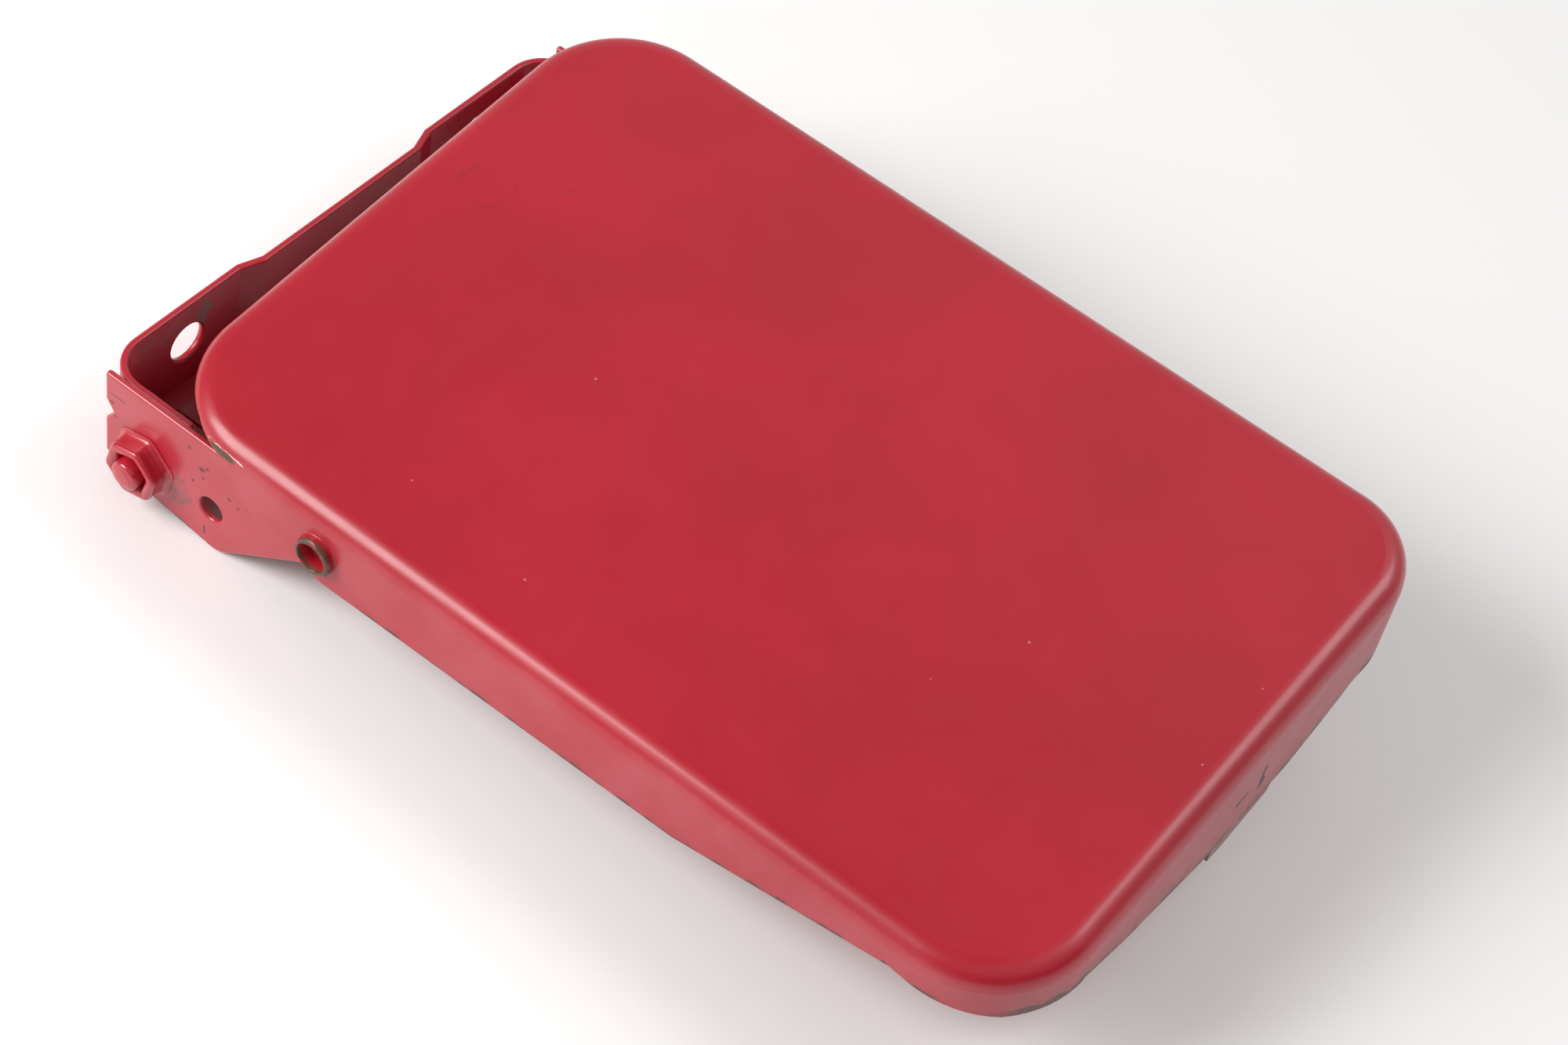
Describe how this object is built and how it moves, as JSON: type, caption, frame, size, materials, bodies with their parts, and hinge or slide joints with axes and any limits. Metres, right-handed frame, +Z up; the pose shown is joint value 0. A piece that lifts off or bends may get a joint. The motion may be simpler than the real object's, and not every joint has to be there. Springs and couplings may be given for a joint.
{
  "type": "car fuel filler flap with hinge bracket",
  "caption": "Hinged car fuel filler flap: a deep pressed steel lid on flat hinge arms, pivoting on a U-shaped strip bracket that bolts to the body, painted red.",
  "frame": {"origin": "midway between the two mounting holes of the hinge bracket, on its mounting face", "axes": "+X from the hinge to the free end of the lid, +Y along the hinge axis from the near to the far side, +Z up"},
  "size_m": [0.2026, 0.1348, 0.0446],
  "materials": {
    "red_paint": "satin gloss body paint on sheet steel",
    "bracket_paint": "rougher body paint with pale streaks inside",
    "worn_paint": "paint rubbed through to brown-grey steel on the rim"
  },
  "bodies": {
    "bracket": {"hinge_bracket": "bracket_paint", "pivot_bolt_near": "red_paint", "pivot_bolt_far": "red_paint", "pivot_nut_near": "red_paint", "pivot_nut_far": "red_paint"},
    "lid": {"lid_panel": "red_paint", "hinge_arm_near": "red_paint", "hinge_arm_far": "red_paint", "rivet_near": "worn_paint", "rivet_far": "worn_paint", "catch_tongue": "red_paint"}
  },
  "joints": [
    {"name": "lid_hinge", "type": "hinge", "parent": "bracket", "child": "lid", "pos_m": [0.0127, 0, -0.0055], "axis": [0, -1, 0], "range_deg": [0, 90]}
  ]
}
